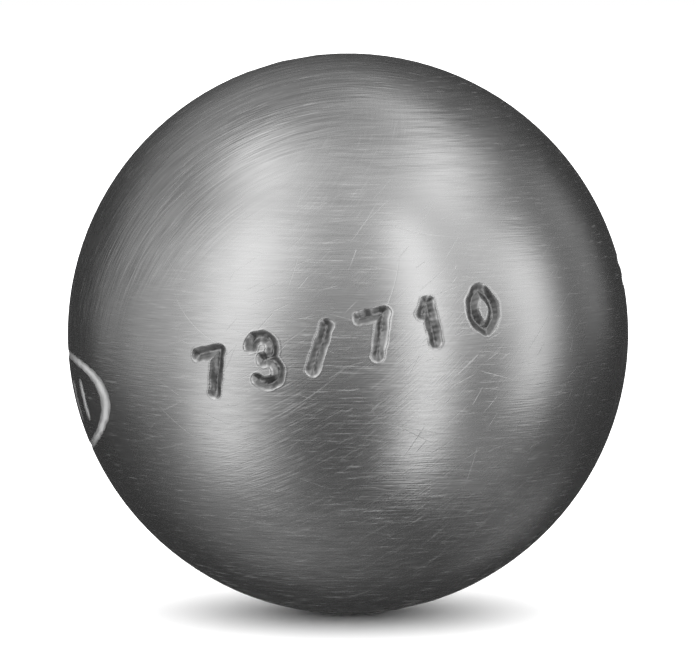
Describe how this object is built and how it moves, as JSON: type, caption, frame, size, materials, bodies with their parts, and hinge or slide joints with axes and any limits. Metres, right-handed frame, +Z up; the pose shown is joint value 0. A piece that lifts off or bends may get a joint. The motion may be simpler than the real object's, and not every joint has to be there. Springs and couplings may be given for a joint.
{
  "type": "petanque boule",
  "caption": "Hollow steel petanque boule: half-shells welded round the middle, ground smooth and struck with plain figures, an oval frame and tally bars.",
  "frame": {"origin": "centre of the ball", "axes": "+Z up as the boule lies, -Y towards the struck row of figures, +X to the right of someone who faces the row"},
  "size_m": [0.073, 0.073, 0.073],
  "materials": {
    "shell_steel": "ground and satin polished, with fine brushed lines that cross",
    "weld_steel": "as welded, dull and rippled"
  },
  "bodies": {
    "root": {"front_half_shell": "shell_steel", "rear_half_shell": "shell_steel", "weld_root_run": "weld_steel", "weld_cap_run": "shell_steel"}
  },
  "joints": []
}
